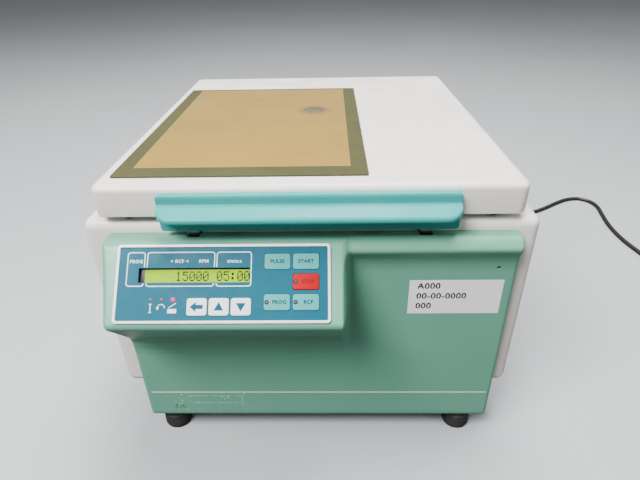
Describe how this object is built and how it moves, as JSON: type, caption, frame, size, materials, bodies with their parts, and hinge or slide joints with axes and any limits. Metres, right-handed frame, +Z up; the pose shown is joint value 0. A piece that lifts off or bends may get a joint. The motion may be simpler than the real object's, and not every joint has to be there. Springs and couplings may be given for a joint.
{
  "type": "laboratory centrifuge",
  "caption": "Benchtop laboratory centrifuge: white casing on rubber feet, hinged lid with turquoise grip strip, green front panel with sloping keypad pod, fixed-angle rotor in a steel bowl.",
  "frame": {"origin": "middle of the footprint, on the surface that the feet stand on", "axes": "+Z up, the front with its keypad faces -Y, +X to its right"},
  "size_m": [0.8612, 0.6419, 0.2928],
  "materials": {
    "white_housing": "satin, off-white, lightly worn",
    "green_plastic": "fine satin, mint green",
    "turquoise_plastic": "glossy turquoise",
    "white_plastic": "satin white",
    "keypad_foil": "blue printed film",
    "light_key": "light turquoise printed film",
    "red_key": "red printed film",
    "white_key": "white printed film",
    "display": "lit yellow-green display",
    "circuit_board": "coated board",
    "tinted_plate": "glossy tinted sheet",
    "viewport": "clear window",
    "bowl_steel": "brushed stainless steel",
    "black_rubber": "matt",
    "cord_jacket": "satin cable jacket",
    "black_plastic": "fine texture",
    "grey_paint": "dark grey powder coat",
    "rotor_aluminium": "turned and anodised",
    "cast_aluminium": "as cast",
    "plain_steel": "zinc plated"
  },
  "bodies": {
    "machine": {"appliance_connector": "black_plastic", "base_tray": "grey_paint", "casing": "white_housing", "chamber_bowl": "bowl_steel", "chamber_seal": "black_rubber", "control_board": "circuit_board", "foot_front_left": "black_rubber", "foot_front_right": "black_rubber", "foot_rear_left": "black_rubber", "foot_rear_right": "black_rubber", "front_panel": "green_plastic", "hinge_bracket": "plain_steel", "hinge_shaft": "plain_steel", "hinge_spring_left": "plain_steel", "hinge_spring_right": "plain_steel", "keypad_bezel": "white_plastic", "keypad_foil": "keypad_foil", "lcd_display": "display", "lock_keeper": "plain_steel", "lock_solenoid": "black_plastic", "mains_inlet": "black_plastic", "mains_plug": "black_plastic", "motor_damper_1": "black_rubber", "motor_damper_2": "black_rubber", "motor_damper_3": "black_rubber", "motor_housing": "cast_aluminium", "motor_mount_plate": "plain_steel", "power_cord": "cord_jacket", "power_cord_coil": "cord_jacket", "rear_panel": "grey_paint", "transformer": "plain_steel"},
    "lid": {"lid_shell": "white_housing", "lid_liner": "bowl_steel", "lid_top_plate": "tinted_plate", "viewport_lens": "viewport", "lid_buffer_left": "black_rubber", "lid_buffer_right": "black_rubber", "hinge_arm_left": "plain_steel", "hinge_arm_right": "plain_steel", "grip_shaft": "plain_steel", "grip_bracket_left": "plain_steel", "grip_bracket_right": "plain_steel"},
    "grip": {"grip_strip": "turquoise_plastic", "lock_hook_left": "plain_steel", "lock_hook_right": "plain_steel"},
    "spindle": {"rotor": "rotor_aluminium", "rotor_knob": "black_plastic", "motor_shaft": "plain_steel", "motor_fan": "black_plastic"},
    "impulse_key": {"key_impulse": "light_key"},
    "start_key": {"key_start": "light_key"},
    "stop_key": {"key_stop": "red_key"},
    "program_key": {"key_program": "light_key"},
    "rcf_key": {"key_rcf": "light_key"},
    "left_key": {"key_left": "white_key"},
    "up_key": {"key_up": "white_key"},
    "down_key": {"key_down": "white_key"},
    "rocker": {"mains_switch": "black_plastic"},
    "bolt": {"lock_bolt": "plain_steel"},
    "release": {"release_shaft": "plain_steel"}
  },
  "joints": [
    {"name": "lid_hinge", "type": "hinge", "parent": "machine", "child": "lid", "pos_m": [0, 0.2289, 0.246], "axis": [-1, 0, 0], "range_deg": [0, 75]},
    {"name": "grip_pivot", "type": "hinge", "parent": "lid", "child": "grip", "pos_m": [0, -0.2008, 0.282], "axis": [-1, 0, 0], "range_deg": [-2, 6]},
    {"name": "rotor_spin", "type": "hinge", "parent": "machine", "child": "spindle", "pos_m": [0, 0.0189, 0.2], "axis": [0, 0, 1], "continuous": true},
    {"name": "mains_rocker", "type": "hinge", "parent": "machine", "child": "rocker", "pos_m": [0.086, 0.2559, 0.104], "axis": [-1, 0, 0], "range_deg": [0, 14]},
    {"name": "release_turn", "type": "hinge", "parent": "machine", "child": "release", "pos_m": [0.165, -0.1951, 0.216], "axis": [0, -1, 0], "range_deg": [-180, 0]},
    {"name": "bolt_slide", "type": "slide", "parent": "machine", "child": "bolt", "axis": [-1, 0, 0], "range_m": [0, 0.0025]},
    {"name": "impulse_press", "type": "slide", "parent": "machine", "child": "impulse_key", "axis": [0, 0.7314, -0.682], "range_m": [0, 0.0005], "stiffness_N_per_m": 2400},
    {"name": "start_press", "type": "slide", "parent": "machine", "child": "start_key", "axis": [0, 0.7314, -0.682], "range_m": [0, 0.0005], "stiffness_N_per_m": 2400},
    {"name": "stop_press", "type": "slide", "parent": "machine", "child": "stop_key", "axis": [0, 0.7314, -0.682], "range_m": [0, 0.0005], "stiffness_N_per_m": 2400},
    {"name": "program_press", "type": "slide", "parent": "machine", "child": "program_key", "axis": [0, 0.7314, -0.682], "range_m": [0, 0.0005], "stiffness_N_per_m": 2400},
    {"name": "rcf_press", "type": "slide", "parent": "machine", "child": "rcf_key", "axis": [0, 0.7314, -0.682], "range_m": [0, 0.0005], "stiffness_N_per_m": 2400},
    {"name": "left_press", "type": "slide", "parent": "machine", "child": "left_key", "axis": [0, 0.7314, -0.682], "range_m": [0, 0.0005], "stiffness_N_per_m": 2400},
    {"name": "up_press", "type": "slide", "parent": "machine", "child": "up_key", "axis": [0, 0.7314, -0.682], "range_m": [0, 0.0005], "stiffness_N_per_m": 2400},
    {"name": "down_press", "type": "slide", "parent": "machine", "child": "down_key", "axis": [0, 0.7314, -0.682], "range_m": [0, 0.0005], "stiffness_N_per_m": 2400}
  ],
  "couplings": [
    {"joint": "release_turn", "follows": "bolt_slide", "rad_per_m": -1256.6}
  ]
}
